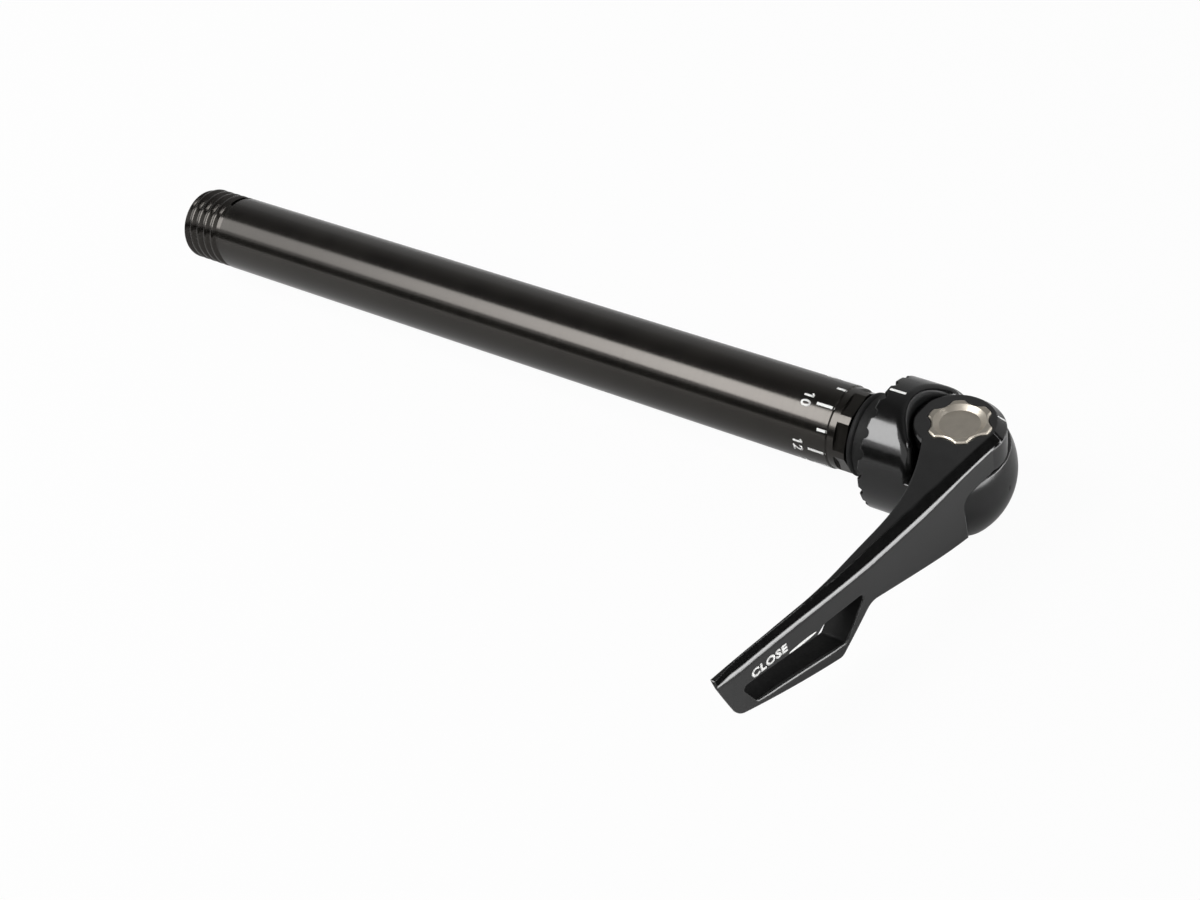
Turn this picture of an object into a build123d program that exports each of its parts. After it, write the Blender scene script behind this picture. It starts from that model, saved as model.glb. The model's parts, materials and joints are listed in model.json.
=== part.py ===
from build123d import *
import os
from math import sqrt

# A bicycle thru axle with a quick-release lever. Sizes are in millimetres.
# +X runs along the axle from its threaded end to its head, and X = 0 is the middle of the tube, where
# the middle of the hub lies. The cross shaft of the cam stands along +Z, and the closed lever lies
# along -Y. Places in the head are measured from the seat where the tube meets the head's collar.

# Axle tube
axle_dia = 15.0
tube_length = 158.0
key_bore_dia = 10.5
tube_end_chamfer = 0.8
seam_chamfer = 0.2
thread_length = 10.0
thread_relief_width = 1.2
thread_relief_depth = 0.7
bulkhead_thickness = 6.0

# Clamp bolt that locks the head to the tube
bolt_dia = 6.0
bolt_head_dia = 9.4
bolt_head_height = 5.0
bolt_grip = 14.0
bolt_edge_chamfer = 0.5
hex_key_size = 5.0
hex_socket_depth = 3.0
washer_thickness = 1.0
head_pocket_length = 9.0

# Index spindle, from the tube into the head
shank_dia = 10.9
shank_length = 25.0
collar_dia = 14.6
collar_strip_width = 1.3
collar_flat_width = 2.2
collar_flat_depth = 0.45
collar_flat_count = 7
collar_flat_turn = 23.5
seal_groove_width = 2.0
seal_groove_depth = 1.3
collar_seal_section = 1.5
journal_dia = 14.1
journal_end = 12.4
tongue_thickness = 3.0
eye_width = 12.8
eye_wall = 2.0
eye_corner = 4.0

# Cross shaft and its cam
pin_x = 22.0
cam_throw = 0.75
cam_dia = 6.6
upper_journal_dia = 8.2
lower_journal_dia = 5.0
star_tip_dia = 11.0
star_valley_dia = 9.2
star_scallop_dia = 6.4
star_lobes = 6
star_lobe_round = 0.5
star_top = 9.45
star_edge = 0.25
dish_floor_dia = 6.8
dish_rim_dia = 8.8
dish_depth = 0.7
ring_groove_depth = 0.6
ring_width = 0.7
ring_reach = 1.0
ring_gap = 3.6
shaft_tail = 0.9

# Cam housing
housing_dia = 23.4
clamp_face_x = 8.6
clamp_rim_round = 0.45
nose_x = 30.6
nose_radius = 12.8
nose_drop = 2.1
nose_round = 3.5
mouth_depth = 4.0
flat_height = 2.9
relief_radius = 8.2
relief_root = 4.9
relief_spread = 0.52
relief_blend = 6.0
relief_round = 1.6
flat_round = 0.4
tooth_count = 20
tooth_groove_dia = 1.9
tooth_land = 1.1
tooth_turn = 9.0
seal_section = 1.2
mouth_seal_inset = 2.0
bush_wall = 0.9
bush_flange_thickness = 0.8
bush_flange_dia = 12.4
ring_pocket_dia = 9.4
ring_pocket_depth = 3.1

# Lever
hub_radius = 7.6
hub_top = 9.1
hub_bevel_inset = 0.8
star_floor = 5.2
blade_bottom = -8.0
blade_bevel = 1.6
bevel_fall = 0.0133
top_fall = 0.0186
face_tilt = 0.07
tilt_run = 17.2
back_height = 4.0
back_taper = 0.4
back_round = 1.0
bevel_round = 0.8
root_round = 1.8
sweep_clear = 0.9

# Lines of the arm at even steps out from the cross shaft: outer face, inner top edge and back
arm_step = 8.6
arm_face_inset = 0.05
arm_inner_inset = 1.4
arm_back_inset = 0.8
arm_faces = [6.38, 5.27, 4.07, 2.72, 0.97, -0.93, -2.65, -4.2]
arm_inners = [-2.5, 0.1, 0.65, 0.0, -0.75, -2.3, -4.1, -5.7]
arm_backs = [-3.2, -1.4, -1.1, -1.8, -3.1, -4.7, -6.2, -7.5]

# Blade outline seen along the axle: distance from the cross shaft, height
lever_length = 64.0
belly_setback = 10.0
root_foot = (9.0, -5.3)
waist = (34.9, 0.35)
shoulder = (42.5, -5.6)
belly = (lever_length - belly_setback, -3.45)
tip_foot = (lever_length, -0.65)
tip_lean = 0.34
tip_bulge = 0.15
tip_sweep = 40.0
tip_land = 0.5
waist_round = 3.0
shoulder_round = 1.5
tip_round = 3.0
tip_crown = 1.2

# Window through the blade, with a step under its upper edge
window_end_wall = 4.1
window_end_lean = 2.2
window_hub_top = (35.7, 2.8)
window_hub_foot = (41.3, -3.5)
window_tip_foot = (lever_length - window_end_wall, -0.85)
window_tip_top = (window_tip_foot[0] + window_end_lean, 3.4)
window_step_low = (46.4, 1.8)
window_step_high = (44.7, 2.9)
window_round = 0.6
window_lip = 0.4

# Fits
running_clear = 0.05
seat_clear = 0.02
side_clear = 0.15
eye_slack = 0.3
lever_gap = 0.3

axle_r = axle_dia / 2
collar_r = collar_dia / 2
journal_r = journal_dia / 2
housing_r = housing_dia / 2
shank_bore_r = shank_dia / 2 + running_clear
shank_end = -shank_length
bulkhead_head_side = shank_end - side_clear
bulkhead_bolt_side = bulkhead_head_side - bulkhead_thickness
head_pocket_start = bulkhead_bolt_side - head_pocket_length
head_pocket_r = bolt_head_dia / 2 + side_clear
bolt_r = bolt_dia / 2
mouth_r = journal_r + running_clear
mouth_end = clamp_face_x + mouth_depth
pocket_half_height = tongue_thickness / 2 + side_clear
pocket_half_width = eye_width / 2 + eye_slack
slot_half = cam_dia / 2 + eye_slack
eye_x = pin_x + cam_throw
eye_end = eye_x + slot_half + eye_wall
upper_bush_bore_r = upper_journal_dia / 2 + running_clear
upper_bush_r = upper_bush_bore_r + bush_wall
lower_bush_bore_r = lower_journal_dia / 2 + running_clear
lower_bush_r = lower_bush_bore_r + bush_wall
bush_top = flat_height + bush_flange_thickness
hub_underside = flat_height + lever_gap
ring_pocket_floor = ring_pocket_depth - housing_r
ring_top = ring_pocket_floor - washer_thickness
shaft_end = ring_top - ring_width - shaft_tail

os.makedirs("parts", exist_ok=True)

seat_x = tube_length / 2
head_plane = Plane.XY.move(Location((seat_x, 0, 0)))
profile_plane = Plane.XZ.move(Location((seat_x, 0, 0)))
nose_plane = Plane((seat_x, 0, -nose_drop), x_dir=(1, 0, 0), z_dir=(0, -1, 0))
pin_plane = Plane.XY.move(Location((seat_x + pin_x, 0, 0)))
arm_plane = Plane.XZ.move(Location((seat_x + pin_x, 0, 0)))


def at_height(z):
    """Plane across the cross shaft at a height."""
    return pin_plane.offset(z)


def across_axle(x):
    """Plane across the axle at a distance from the head's seat."""
    return Plane.YZ.offset(seat_x + x)


# Axle tube: bored from the threaded end for the key, and from the head end for the spindle
with BuildPart() as axle_tube:
    with BuildSketch(across_axle(-tube_length)):
        Circle(axle_r)
    extrude(amount=tube_length)
    with BuildSketch(across_axle(-tube_length)):
        Circle(key_bore_dia / 2)
    extrude(amount=tube_length + head_pocket_start, mode=Mode.SUBTRACT)
    with BuildSketch(across_axle(head_pocket_start)):
        Circle(head_pocket_r)
    extrude(amount=head_pocket_length, mode=Mode.SUBTRACT)
    with BuildSketch(across_axle(bulkhead_bolt_side)):
        Circle(bolt_r + side_clear)
    extrude(amount=bulkhead_thickness, mode=Mode.SUBTRACT)
    with BuildSketch(across_axle(bulkhead_head_side)):
        Circle(shank_bore_r)
    extrude(amount=-bulkhead_head_side, mode=Mode.SUBTRACT)
    with BuildSketch(across_axle(thread_length - tube_length)):
        Circle(axle_r)
        Circle(axle_r - thread_relief_depth, mode=Mode.SUBTRACT)
    extrude(amount=thread_relief_width, mode=Mode.SUBTRACT)
    end_edges = axle_tube.edges().filter_by(GeomType.CIRCLE).group_by(Axis.X)
    chamfer(end_edges[0].sort_by(SortBy.RADIUS)[-1], tube_end_chamfer)
    chamfer(axle_tube.edges().group_by(Axis.X)[-1].sort_by(SortBy.RADIUS)[-1], seam_chamfer)

# Clamp bolt: socket head towards the threaded end, shank tapped into the spindle
bolt_head_x = bulkhead_bolt_side - washer_thickness
with BuildPart() as clamp_bolt:
    with BuildSketch(across_axle(bolt_head_x - bolt_head_height)):
        Circle(bolt_head_dia / 2)
    extrude(amount=bolt_head_height)
    with BuildSketch(across_axle(bolt_head_x)):
        Circle(bolt_r)
    extrude(amount=washer_thickness + bulkhead_thickness + side_clear + bolt_grip)
    with BuildSketch(across_axle(bolt_head_x - bolt_head_height)):
        RegularPolygon(hex_key_size / 2, 6, major_radius=False)
    extrude(amount=hex_socket_depth, mode=Mode.SUBTRACT)
    bolt_rims = clamp_bolt.edges().filter_by(GeomType.CIRCLE).group_by(Axis.X)
    chamfer(bolt_rims[0] + bolt_rims[-1], bolt_edge_chamfer)

with BuildPart() as bolt_washer:
    with BuildSketch(across_axle(bolt_head_x)):
        Circle(bolt_head_dia / 2)
        Circle(bolt_r + side_clear, mode=Mode.SUBTRACT)
    extrude(amount=washer_thickness)

# Index spindle: shank in the tube, flatted collar, seal groove, journal, then the eye for the cam
flats_x = collar_strip_width
groove_x = flats_x + collar_flat_width
land_x = groove_x + seal_groove_width
groove_r = collar_r - seal_groove_depth
with BuildPart() as index_spindle:
    with BuildSketch(across_axle(shank_end)):
        Circle(shank_dia / 2)
    extrude(amount=shank_length)
    with BuildSketch(across_axle(0)):
        Circle(collar_r)
    extrude(amount=collar_strip_width)
    with BuildSketch(across_axle(flats_x)):
        Circle(collar_r)
        RegularPolygon(
            collar_r - collar_flat_depth,
            collar_flat_count,
            major_radius=False,
            rotation=collar_flat_turn,
            mode=Mode.INTERSECT,
        )
    extrude(amount=collar_flat_width)
    with BuildSketch(across_axle(groove_x)):
        Circle(groove_r)
    extrude(amount=seal_groove_width)
    with BuildSketch(across_axle(land_x)):
        Circle(journal_r)
    extrude(amount=journal_end - land_x)
    with BuildSketch(head_plane) as tongue:
        with Locations((journal_end, 0)):
            Rectangle(eye_end - journal_end, eye_width, align=(Align.MIN, Align.CENTER))
        fillet(tongue.vertices().group_by(Axis.X)[-1], eye_corner)
        with Locations((eye_x, 0)):
            SlotCenterToCenter(2 * cam_throw, 2 * slot_half, rotation=90, mode=Mode.SUBTRACT)
    extrude(amount=tongue_thickness / 2, both=True)
    with BuildSketch(across_axle(shank_end)):
        Circle(bolt_r + seat_clear)
    extrude(amount=bolt_grip + bolt_edge_chamfer, mode=Mode.SUBTRACT)
    chamfer(index_spindle.edges().group_by(Axis.X)[0].sort_by(SortBy.RADIUS)[-1], bolt_edge_chamfer)

# Seals: a ring in the collar's groove, and a ring in the housing's mouth that wipes the journal
with BuildPart() as collar_seal:
    with BuildSketch(profile_plane):
        with Locations((groove_x + seal_groove_width / 2, groove_r + collar_seal_section / 2)):
            Circle(collar_seal_section / 2 - seat_clear)
    revolve(axis=Axis.X)

mouth_seal_x = clamp_face_x + mouth_seal_inset + seal_section / 2
with BuildPart() as mouth_seal:
    with BuildSketch(profile_plane):
        with Locations((mouth_seal_x, mouth_r + seal_section / 2)):
            Circle(seal_section / 2)
    revolve(axis=Axis.X)

# Cam housing: a turned barrel with a ball nose, set a little low so that its top edge follows the
# lever's ear. The part behind the ear and the low shelf under it are rounded apart, then joined.
nose_middle = nose_x - nose_radius
shelf_start = clamp_face_x + 2 * clamp_rim_round
relief_root_y = sqrt(relief_radius**2 - relief_root**2)
relief_far_x = relief_spread * (housing_dia - relief_root_y) - relief_root

with BuildSketch(profile_plane) as barrel_profile:
    with Locations((clamp_face_x, 0)):
        Rectangle(nose_x - clamp_face_x, housing_r, align=Align.MIN)
    fillet(barrel_profile.vertices().group_by(Axis.Y)[-1].sort_by(Axis.X)[0], clamp_rim_round)

with BuildPart() as housing_rear:
    add(barrel_profile.sketch)
    revolve(axis=Axis.X)
    with BuildSketch(at_height(-housing_dia)) as relief:
        Circle(relief_radius)
        with BuildLine():
            Polyline(
                (-relief_root, relief_root_y),
                (relief_far_x, housing_dia),
                (housing_dia, housing_dia),
                (housing_dia, -housing_dia),
                (relief_far_x, -housing_dia),
                (-relief_root, -relief_root_y),
                close=True,
            )
        make_face()
        fillet(relief.vertices().group_by(Axis.X)[0], relief_blend)
    extrude(amount=2 * housing_dia, mode=Mode.SUBTRACT)
    relief_rim = housing_rear.edges().filter_by(GeomType.BSPLINE) + housing_rear.edges().filter_by(
        GeomType.ELLIPSE
    )
    fillet(relief_rim, relief_round)

with BuildPart() as cam_housing:
    add(barrel_profile.sketch)
    revolve(axis=Axis.X)
    with BuildSketch(nose_plane) as nose_profile:
        with BuildLine():
            Polyline((nose_x, 0), (0, 0), (0, nose_radius), (nose_middle, nose_radius))
            RadiusArc((nose_middle, nose_radius), (nose_x, 0), nose_radius)
        make_face()
    revolve(axis=Axis(nose_plane.origin, (1, 0, 0)), mode=Mode.INTERSECT)
    split(bisect_by=Plane.XY.offset(flat_height), keep=Keep.BOTTOM)
    split(bisect_by=across_axle(shelf_start), keep=Keep.TOP)
    ball = cam_housing.faces().filter_by(GeomType.SPHERE)
    barrel = cam_housing.faces().filter_by(GeomType.CYLINDER)
    fillet([edge for edge in ball.edges() if edge in barrel.edges()], nose_round)
    shelf = cam_housing.faces().sort_by(Axis.Z)[-1]
    fillet(shelf.edges().sort_by(Axis.X)[1:], flat_round)
    add(housing_rear.part)
    # Bore, seal groove and the flat pocket that takes the spindle's eye
    with BuildSketch(across_axle(clamp_face_x)):
        Circle(mouth_r)
    extrude(amount=mouth_depth, mode=Mode.SUBTRACT)
    with BuildSketch(across_axle(mouth_seal_x)):
        Circle(mouth_r + seal_section + seat_clear)
    extrude(amount=seal_section / 2 + seat_clear, both=True, mode=Mode.SUBTRACT)
    with BuildSketch(head_plane) as eye_pocket:
        with Locations((mouth_end, 0)):
            Rectangle(
                eye_end + eye_slack - mouth_end, 2 * pocket_half_width, align=(Align.MIN, Align.CENTER)
            )
        fillet(eye_pocket.vertices().group_by(Axis.X)[-1], eye_corner + eye_slack)
    extrude(amount=pocket_half_height, both=True, mode=Mode.SUBTRACT)
    # Bores for the two bushes, and the pocket for the ring that holds the shaft
    with BuildSketch(pin_plane):
        Circle(upper_bush_r + seat_clear)
    extrude(amount=housing_r, mode=Mode.SUBTRACT)
    with BuildSketch(pin_plane):
        Circle(lower_bush_r + seat_clear)
    extrude(amount=-housing_r, mode=Mode.SUBTRACT)
    with BuildSketch(at_height(ring_pocket_floor)):
        Circle(ring_pocket_dia / 2)
    extrude(amount=-housing_r, mode=Mode.SUBTRACT)
    # Radial grooves that make the gripping teeth of the clamping face
    with Locations(across_axle(clamp_face_x)):
        with PolarLocations(mouth_r + tooth_land + housing_r / 2, tooth_count, tooth_turn):
            Cylinder(tooth_groove_dia / 2, housing_r, rotation=(0, 90, 0), mode=Mode.SUBTRACT)

# Bushes: a flanged one under the lever's ear, and a plain one below the cam
with BuildPart() as upper_bush:
    with BuildSketch(at_height(pocket_half_height)):
        Circle(upper_bush_r)
    extrude(amount=bush_top - pocket_half_height)
    with BuildSketch(at_height(flat_height)):
        Circle(bush_flange_dia / 2)
    extrude(amount=bush_flange_thickness)
    with BuildSketch(at_height(pocket_half_height)):
        Circle(upper_bush_bore_r)
    extrude(amount=bush_top, mode=Mode.SUBTRACT)

with BuildPart() as lower_bush:
    with BuildSketch(at_height(ring_pocket_floor)):
        Circle(lower_bush_r)
        Circle(lower_bush_bore_r, mode=Mode.SUBTRACT)
    extrude(amount=-pocket_half_height - ring_pocket_floor)

# Cross shaft: six-lobed dished head, upper journal, cam, lower journal and ring groove
with BuildSketch() as star_outline:
    Circle(star_tip_dia / 2)
    with PolarLocations((star_valley_dia + star_scallop_dia) / 2, star_lobes, 180 / star_lobes):
        Circle(star_scallop_dia / 2, mode=Mode.SUBTRACT)
    fillet(star_outline.vertices(), star_lobe_round)

with BuildPart() as cam_shaft:
    with BuildSketch(at_height(star_floor)):
        add(star_outline.sketch)
    extrude(amount=star_top - star_floor)
    chamfer(cam_shaft.edges().group_by(Axis.Z)[-1], star_edge)
    with BuildSketch(at_height(star_top)):
        Circle(dish_rim_dia / 2)
    with BuildSketch(at_height(star_top - dish_depth)):
        Circle(dish_floor_dia / 2)
    loft(mode=Mode.SUBTRACT)
    with BuildSketch(at_height(pocket_half_height)):
        Circle(upper_journal_dia / 2)
    extrude(amount=star_floor - pocket_half_height)
    with BuildSketch(at_height(-pocket_half_height)):
        with Locations((cam_throw, 0)):
            Circle(cam_dia / 2)
    extrude(amount=2 * pocket_half_height)
    with BuildSketch(at_height(shaft_end)):
        Circle(lower_journal_dia / 2)
    extrude(amount=-pocket_half_height - shaft_end)
    with BuildSketch(at_height(ring_top)):
        Circle(lower_journal_dia / 2)
        Circle(lower_journal_dia / 2 - ring_groove_depth, mode=Mode.SUBTRACT)
    extrude(amount=-ring_width, mode=Mode.SUBTRACT)
    chamfer(cam_shaft.edges().group_by(Axis.Z)[0], star_edge)

with BuildPart() as shaft_washer:
    with BuildSketch(at_height(ring_pocket_floor)):
        Circle(ring_pocket_dia / 2 - side_clear)
        Circle(lower_bush_bore_r, mode=Mode.SUBTRACT)
    extrude(amount=-washer_thickness)

with BuildPart() as retaining_ring:
    with BuildSketch(at_height(ring_top - seat_clear)):
        Circle(lower_journal_dia / 2 + ring_reach)
        Circle(lower_journal_dia / 2 - ring_groove_depth + seat_clear, mode=Mode.SUBTRACT)
        Rectangle(lower_journal_dia, ring_gap, align=(Align.MIN, Align.CENTER), mode=Mode.SUBTRACT)
    extrude(amount=2 * seat_clear - ring_width)


# Ear of the lever: a disc round the cross shaft, bevelled all round but least on its inner side
ear_cone_r = hub_radius - blade_bevel + hub_bevel_inset
ear_height = hub_top - hub_underside
with BuildPart() as ear:
    with BuildSketch(at_height(hub_underside)):
        Circle(hub_radius)
    extrude(amount=ear_height)
    with Locations((seat_x + pin_x - hub_bevel_inset, 0, hub_underside)):
        Cone(
            ear_cone_r + ear_height,
            ear_cone_r,
            ear_height,
            align=(Align.CENTER, Align.CENTER, Align.MIN),
            mode=Mode.INTERSECT,
        )

# Lever: an arm lofted through sections, trimmed to the blade's outline, with an ear and a window.
# The first and last sections only run the loft out past the parts that stay.
arm_starts = (hub_radius - arm_face_inset, arm_inner_inset - hub_radius, arm_back_inset - hub_radius)
arm_lines = []
for start, line in zip(arm_starts, (arm_faces, arm_inners, arm_backs)):
    arm_lines.append([2 * start - line[0], start, *line, 2 * line[-1] - line[-2]])


def seen_along_axle(point):
    """A point of the blade's outline, on a plane across the axle."""
    return Vector(-point[0], point[1])


# The blade's end is swept back from a narrow land along its outer edge
tip_height = hub_top + top_fall * (arm_step - lever_length)
tip_top = (lever_length + tip_lean * (tip_height - tip_foot[1]), tip_height)
tip_middle = ((tip_foot[0] + tip_top[0]) / 2 + tip_bulge, (tip_foot[1] + tip_top[1]) / 2)


def tip_edge(point):
    """A point of the tip's outer edge, moved in by its land."""
    steps_out = point[0] / arm_step - len(arm_faces) + 1
    face = arm_faces[-2] + steps_out * (arm_faces[-1] - arm_faces[-2])
    return Vector(seat_x + pin_x + face + face_tilt * (tip_height - point[1]) - tip_land, -point[0], point[1])


tip_cut_along = Vector(-1, 0, 0).rotate(Axis.Z, -tip_sweep)
tip_cut_up = tip_edge(tip_top) - tip_edge(tip_foot)
tip_cut = Plane(tip_edge(tip_foot), x_dir=tip_cut_along, z_dir=tip_cut_up.cross(tip_cut_along))


with BuildPart() as lever:
    for index, (face, inner, back) in enumerate(zip(*arm_lines)):
        distance = (index - 1) * arm_step
        top = hub_top + top_fall * (arm_step - distance)
        bevel = blade_bevel - bevel_fall * distance
        foot = face_tilt * (top - bevel - blade_bottom) * min(1, max(0, distance / tilt_run))
        with BuildSketch(arm_plane.offset(distance)):
            with BuildLine():
                Polyline(
                    (face + foot, blade_bottom),
                    (face, top - bevel),
                    (face - bevel, top),
                    (inner, top),
                    (back, back_height),
                    (back + back_taper, blade_bottom),
                    close=True,
                )
            make_face()
    loft()
    arm_edges = lever.edges().sort_by(SortBy.LENGTH)[-6:].sort_by(lambda e: (e @ 0.5).Z)
    fillet(arm_edges[2], back_round)
    fillet(lever.edges().sort_by(SortBy.LENGTH)[-8:].sort_by(lambda e: (e @ 0.5).Z)[-3], bevel_round)
    split(bisect_by=Plane.XY.offset(hub_top), keep=Keep.BOTTOM)
    with BuildSketch(at_height(blade_bottom)):
        Circle(housing_r + sweep_clear)
    extrude(amount=hub_underside - blade_bottom, mode=Mode.SUBTRACT)
    with BuildSketch(across_axle(pin_x)) as blade_outline:
        with BuildLine():
            Polyline(
                seen_along_axle((0, 2 * hub_top)),
                seen_along_axle((0, root_foot[1])),
                seen_along_axle(root_foot),
                seen_along_axle(waist),
                seen_along_axle(shoulder),
            )
            ThreePointArc(seen_along_axle(shoulder), seen_along_axle(belly), seen_along_axle(tip_foot))
            ThreePointArc(seen_along_axle(tip_foot), seen_along_axle(tip_middle), seen_along_axle(tip_top))
            Line(seen_along_axle(tip_top), seen_along_axle((0, 2 * hub_top)))
        make_face()
        for corner, radius in (
            (waist, waist_round),
            (shoulder, shoulder_round),
            (tip_foot, tip_round),
            (tip_top, tip_crown),
        ):
            fillet(blade_outline.vertices().sort_by_distance(seen_along_axle(corner))[0], radius)
    extrude(amount=housing_dia, both=True, mode=Mode.INTERSECT)
    split(bisect_by=tip_cut, keep=Keep.BOTTOM)
    with BuildSketch(across_axle(pin_x)) as window:
        with BuildLine():
            Polyline(
                seen_along_axle(window_hub_top),
                seen_along_axle(window_hub_foot),
                seen_along_axle(window_tip_foot),
                seen_along_axle(window_tip_top),
                seen_along_axle(window_step_low),
                seen_along_axle(window_step_high),
                close=True,
            )
        make_face()
        fillet(window.vertices(), window_round)
    extrude(amount=housing_dia, both=True, mode=Mode.SUBTRACT)
    broad_face = lever.faces().sort_by(SortBy.AREA)[-1]
    fillet(broad_face.inner_wires().edges(), window_lip)
    add(ear.part)
    root_edge = lever.edges().filter_by(GeomType.CIRCLE).group_by(SortBy.RADIUS)[-1]
    fillet(root_edge.sort_by(Axis.Z)[-1], root_round)
    # Seat for the star head, bore for the shaft, and recess over the bush's flange
    with BuildSketch(at_height(star_floor)):
        add(star_outline.sketch)
        offset(amount=running_clear)
    extrude(amount=star_top - star_floor, mode=Mode.SUBTRACT)
    with BuildSketch(at_height(hub_underside)):
        Circle(upper_bush_bore_r)
    extrude(amount=star_floor - hub_underside, mode=Mode.SUBTRACT)
    with BuildSketch(at_height(hub_underside)):
        Circle(bush_flange_dia / 2 + side_clear)
    extrude(amount=bush_top + running_clear - hub_underside, mode=Mode.SUBTRACT)

axle_tube.part.label = "axle_tube"
export_step(axle_tube.part, "parts/axle_tube.step")

clamp_bolt.part.label = "clamp_bolt"
export_step(clamp_bolt.part, "parts/clamp_bolt.step")

bolt_washer.part.label = "bolt_washer"
export_step(bolt_washer.part, "parts/bolt_washer.step")

index_spindle.part.label = "index_spindle"
export_step(index_spindle.part, "parts/index_spindle.step")

collar_seal.part.label = "collar_seal"
export_step(collar_seal.part, "parts/collar_seal.step")

mouth_seal.part.label = "mouth_seal"
export_step(mouth_seal.part, "parts/mouth_seal.step")

cam_housing.part.label = "cam_housing"
export_step(cam_housing.part, "parts/cam_housing.step")

upper_bush.part.label = "upper_bush"
export_step(upper_bush.part, "parts/upper_bush.step")

lower_bush.part.label = "lower_bush"
export_step(lower_bush.part, "parts/lower_bush.step")

cam_shaft.part.label = "cam_shaft"
export_step(cam_shaft.part, "parts/cam_shaft.step")

shaft_washer.part.label = "shaft_washer"
export_step(shaft_washer.part, "parts/shaft_washer.step")

retaining_ring.part.label = "retaining_ring"
export_step(retaining_ring.part, "parts/retaining_ring.step")

lever.part.label = "lever"
export_step(lever.part, "parts/lever.step")
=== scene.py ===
# %% [markdown]
# A bicycle thru axle: a black tube with a thread at one end, and at the other a cam head with a
# lever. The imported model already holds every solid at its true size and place. This lesson
# dresses it. It sets up the camera and a small studio, mixes the finishes, turns the tube and its
# thread with mesh tools, buffs the lever's edges, and prints the white marks on the curved metal.

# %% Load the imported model
import json
from math import asin, cos, pi, radians, sin, tan

import bpy
from mathutils import Matrix, Vector
from mathutils.kdtree import KDTree

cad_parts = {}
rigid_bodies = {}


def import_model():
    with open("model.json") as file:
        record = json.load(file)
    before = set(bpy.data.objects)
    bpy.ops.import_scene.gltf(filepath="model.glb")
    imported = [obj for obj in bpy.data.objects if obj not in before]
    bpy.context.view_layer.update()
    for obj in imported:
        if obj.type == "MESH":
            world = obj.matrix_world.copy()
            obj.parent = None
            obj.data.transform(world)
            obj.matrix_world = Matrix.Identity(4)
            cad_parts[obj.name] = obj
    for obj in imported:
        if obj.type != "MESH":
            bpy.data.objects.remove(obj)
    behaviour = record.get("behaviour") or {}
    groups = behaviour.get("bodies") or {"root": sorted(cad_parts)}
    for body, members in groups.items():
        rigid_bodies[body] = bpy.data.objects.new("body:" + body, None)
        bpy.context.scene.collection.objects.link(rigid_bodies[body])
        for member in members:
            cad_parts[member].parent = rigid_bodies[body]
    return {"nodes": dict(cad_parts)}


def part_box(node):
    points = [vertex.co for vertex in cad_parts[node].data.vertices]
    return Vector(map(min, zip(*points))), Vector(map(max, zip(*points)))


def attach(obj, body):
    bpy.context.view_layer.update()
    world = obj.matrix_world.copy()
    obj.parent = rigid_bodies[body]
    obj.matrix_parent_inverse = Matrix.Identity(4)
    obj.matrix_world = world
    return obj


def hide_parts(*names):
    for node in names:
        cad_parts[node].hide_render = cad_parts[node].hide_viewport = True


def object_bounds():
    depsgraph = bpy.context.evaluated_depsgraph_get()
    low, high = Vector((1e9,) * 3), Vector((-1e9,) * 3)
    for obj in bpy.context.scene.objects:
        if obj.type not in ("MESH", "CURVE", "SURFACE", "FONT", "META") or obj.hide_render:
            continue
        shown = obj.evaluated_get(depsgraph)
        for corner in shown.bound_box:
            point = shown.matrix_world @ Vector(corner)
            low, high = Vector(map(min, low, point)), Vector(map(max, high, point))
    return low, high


for leftover in list(bpy.data.objects):
    bpy.data.objects.remove(leftover)
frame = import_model()
cad_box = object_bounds()
MM = 0.001
nodes = frame["nodes"]
scene = bpy.context.scene


def in_mm(box):
    """The corners of a box in millimetres, rounded to be read."""
    return [[round(value / MM, 2) for value in corner] for corner in box]


print("CAD box, mm:", in_mm(cad_box))

# %% [markdown]
# The camera stands in front of the lever's tip, to the right of the tube and above it, so the
# tube runs away to the upper left. It could be aimed at a point with a Track To constraint, but
# that leaves its roll to chance. A camera looks along its own -Z, so its matrix is built from
# three directions instead: what is right, up and behind in the picture.

# %% Camera
camera_data = bpy.data.cameras.new("camera")
camera_data.lens = 61.5
camera_data.sensor_fit = "HORIZONTAL"
camera_data.sensor_width = 36
camera_data.clip_start = 0.01
camera = bpy.data.objects.new("camera", camera_data)
scene.collection.objects.link(camera)
camera_place = Vector((234.103, -224.377, 227.617)) * MM
picture_right = Vector((0.7973, 0.5830, -0.1562))
picture_up = Vector((-0.2828, 0.5894, 0.7567))
picture_back = picture_right.cross(picture_up)
camera_turn = Matrix((picture_right, picture_up, picture_back)).transposed().to_4x4()
camera.matrix_world = Matrix.Translation(camera_place) @ camera_turn
scene.camera = camera
scene.view_settings.view_transform = "Standard"
print("camera at, mm:", [round(value / MM, 1) for value in camera.location])

# %% [markdown]
# Two small helpers serve every finish. A colour is written as the hex value that a screen shows,
# and shaders want linear light, so one function converts it. The other adds a node to a tree,
# with its settings, and with each input either set to a value or linked from an output.


# %% Colour and node helpers
def linear(hex_colour):
    """sRGB hex to linear RGBA."""
    parts = [int(hex_colour[i : i + 2], 16) / 255 for i in (1, 3, 5)]
    return [p / 12.92 if p <= 0.04045 else ((p + 0.055) / 1.055) ** 2.4 for p in parts] + [1.0]


def add_node(tree, kind, inputs=None, **settings):
    """A node in a tree; each input takes a value, or a link from an output."""
    node = tree.nodes.new(kind)
    for name, value in settings.items():
        setattr(node, name, value)
    for socket, value in (inputs or {}).items():
        if isinstance(value, bpy.types.NodeSocket):
            tree.links.new(value, node.inputs[socket])
        else:
            node.inputs[socket].default_value = value
    return node


# %% [markdown]
# The room is white paper all round. Stronger light could whiten it, but that would wash out the
# object. So the paper is plain white only where the camera sees it or metal mirrors it. For all
# other light it is dimmer, and the object is lit at a plain level.


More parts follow.
